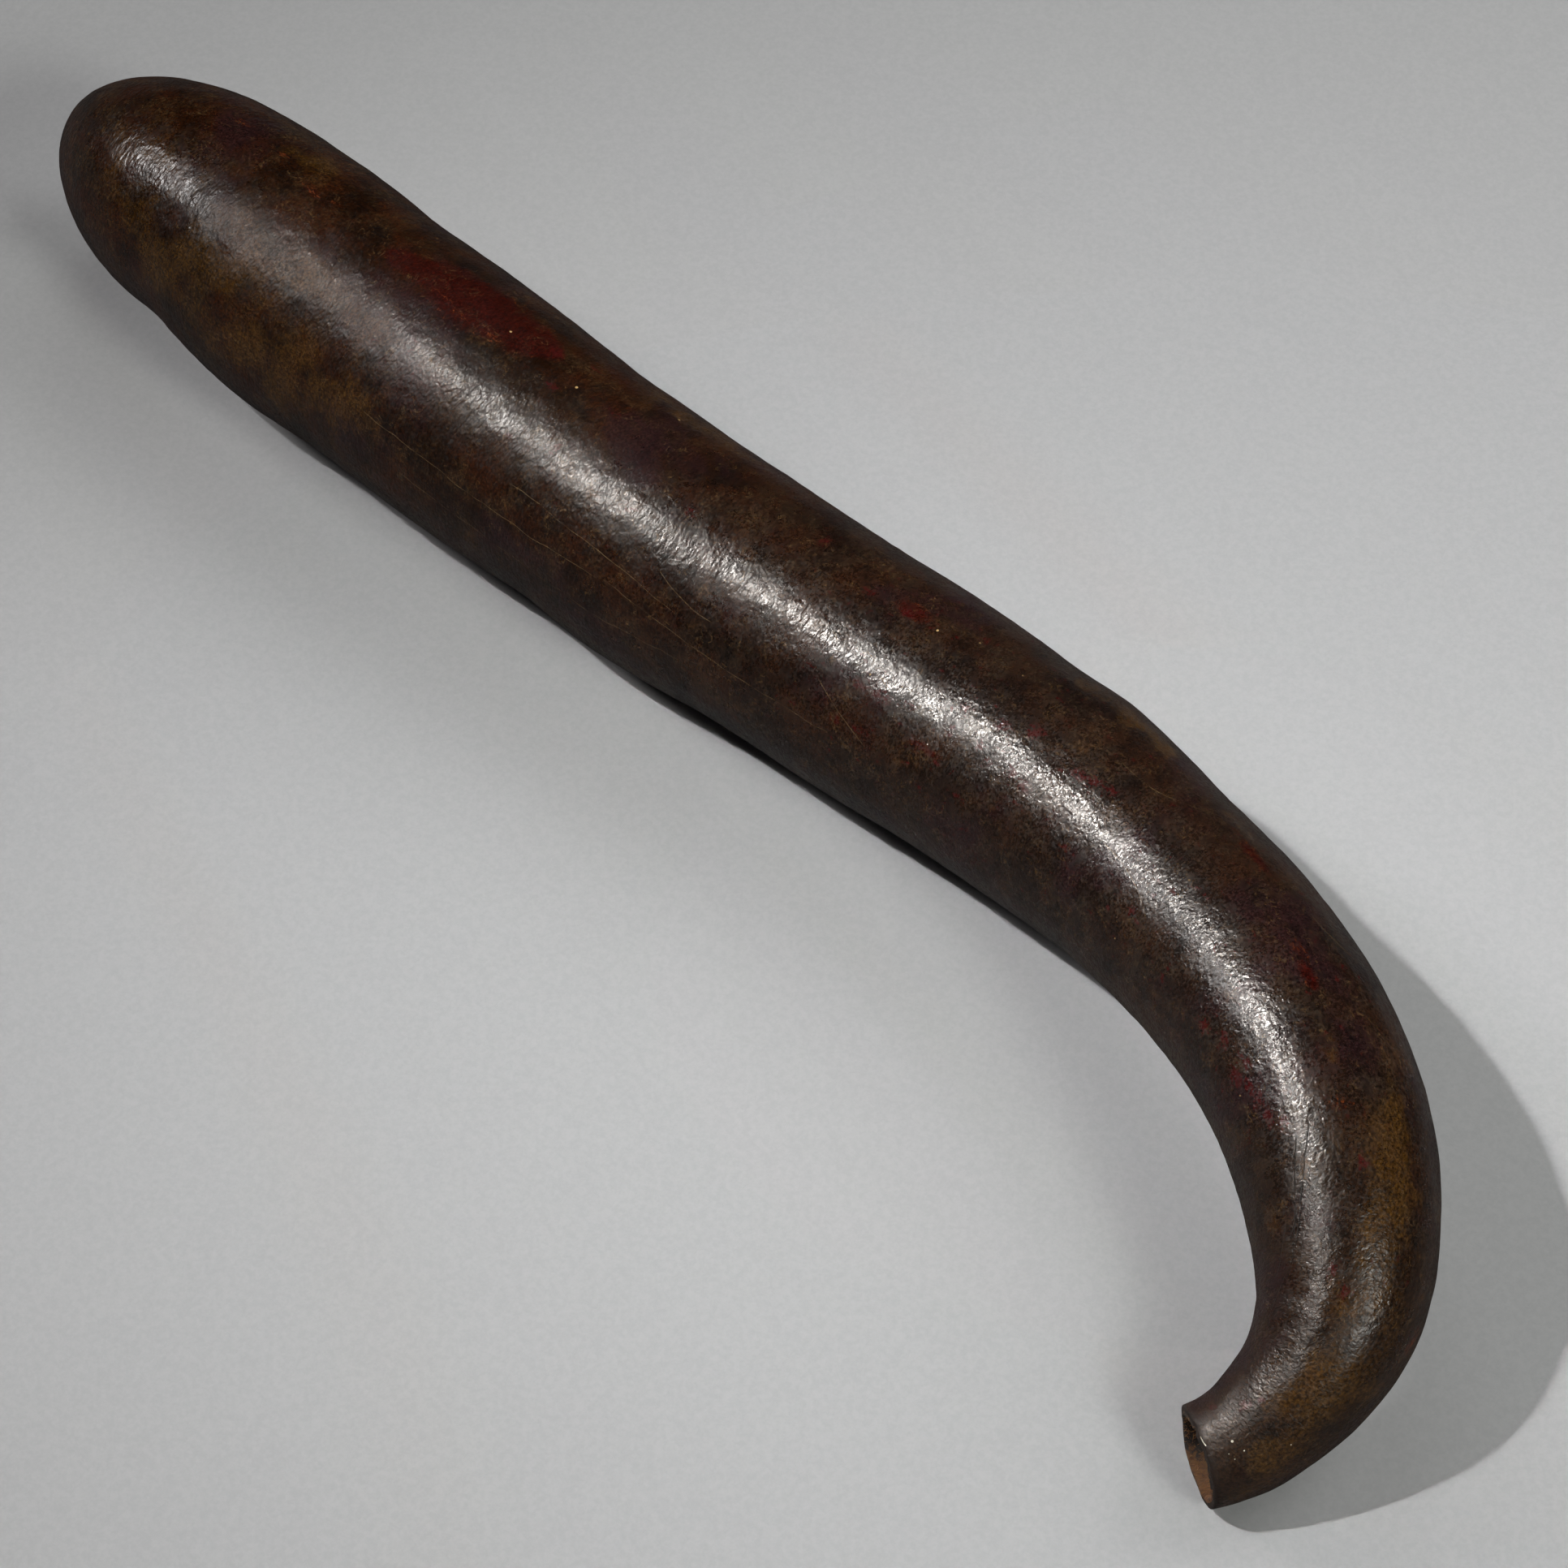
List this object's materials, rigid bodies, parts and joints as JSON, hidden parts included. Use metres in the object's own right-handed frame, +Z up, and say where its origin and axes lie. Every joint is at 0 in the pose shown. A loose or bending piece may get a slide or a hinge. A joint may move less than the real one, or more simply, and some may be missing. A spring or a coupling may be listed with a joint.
{
  "type": "gourd container",
  "caption": "Long dried gourd, hollow and closed at the round blossom end, with a hooked tapering neck cut open as a narrow mouth.",
  "frame": {"origin": "under the middle of the gourd's bounding box, on the surface it lies on", "axes": "+X along the body from the closed blossom end towards the hooked neck, +Z up from the resting spots; the neck hooks round towards -Y"},
  "size_m": [0.7898, 0.2316, 0.1077],
  "materials": {
    "rind": "very dark brown glossy patina over a finely pebbled rind, with dark red wear"
  },
  "bodies": {
    "root": {"gourd_shell": "rind"}
  },
  "joints": []
}
